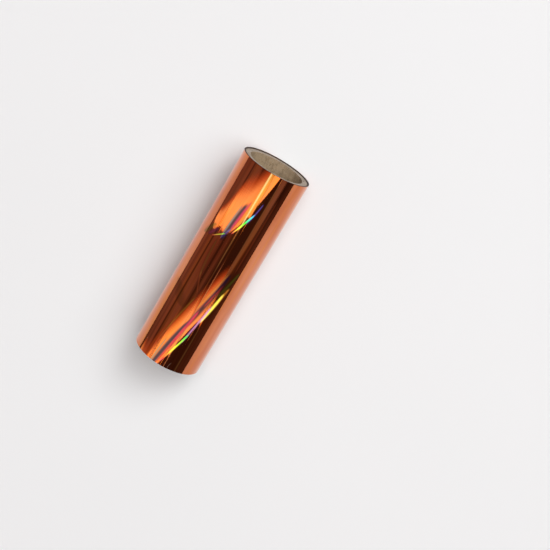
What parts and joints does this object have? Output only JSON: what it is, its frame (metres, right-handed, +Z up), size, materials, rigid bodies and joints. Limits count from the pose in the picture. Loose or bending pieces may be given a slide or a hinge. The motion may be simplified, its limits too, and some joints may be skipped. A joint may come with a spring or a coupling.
{
  "type": "copper foil roll",
  "caption": "Roll of copper-coloured metallised transfer film on a board core, with an outer turn that pays off and a free tail that lifts.",
  "frame": {"origin": "centre of the core's bore, halfway along it", "axes": "+X along the core; +Z up with the roll lying on its side, the film's free edge on the upper side towards -Y"},
  "size_m": [0.1, 0.0318, 0.0318],
  "materials": {
    "core_board": "grey recycled chipboard, matt",
    "paper_tape": "pale paper tape, matt",
    "copper_film": "mirror-bright copper metallised film with a faint rainbow sheen"
  },
  "bodies": {
    "roll": {"core_ply_1": "core_board", "core_ply_2": "core_board", "core_ply_3": "core_board", "core_ply_4": "core_board", "core_ply_5": "core_board", "starter_tape": "paper_tape", "foil_winding": "copper_film"},
    "outer_turn": {"foil_outer_turn": "copper_film"},
    "tail": {"foil_tail": "copper_film"}
  },
  "joints": [
    {"name": "unwind", "type": "hinge", "parent": "roll", "child": "outer_turn", "pos_m": [0, 0, 0], "axis": [1, 0, 0], "continuous": true},
    {"name": "tail_lift", "type": "hinge", "parent": "outer_turn", "child": "tail", "pos_m": [0, 0.01512, 0.00507], "axis": [-1, 0, 0], "range_deg": [0, 80]}
  ]
}
